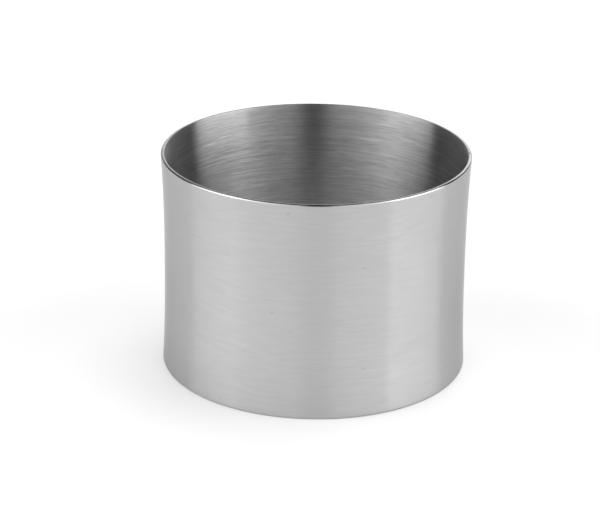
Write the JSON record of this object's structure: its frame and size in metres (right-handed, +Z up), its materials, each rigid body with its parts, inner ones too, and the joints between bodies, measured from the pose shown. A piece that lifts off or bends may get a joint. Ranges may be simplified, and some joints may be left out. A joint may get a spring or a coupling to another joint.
{
  "type": "food ring",
  "caption": "Bottomless round ring of brushed stainless steel with a slightly drawn-in wall and rounded lips, for shaping and plating portions of food.",
  "frame": {"origin": "centre of the circle that the ring stands on, in the plane of its lower lip", "axes": "+Z up along the ring's axis, -Y towards the front of the ring, +X through the weld"},
  "size_m": [0.07, 0.07, 0.05],
  "materials": {
    "satin_steel": "fine satin brushing that runs round the ring, coarser on the inside",
    "dressed_weld": "weld ground flush with the sheet and brushed over"
  },
  "bodies": {
    "root": {"wall_band": "satin_steel", "seam_weld": "dressed_weld"}
  },
  "joints": []
}
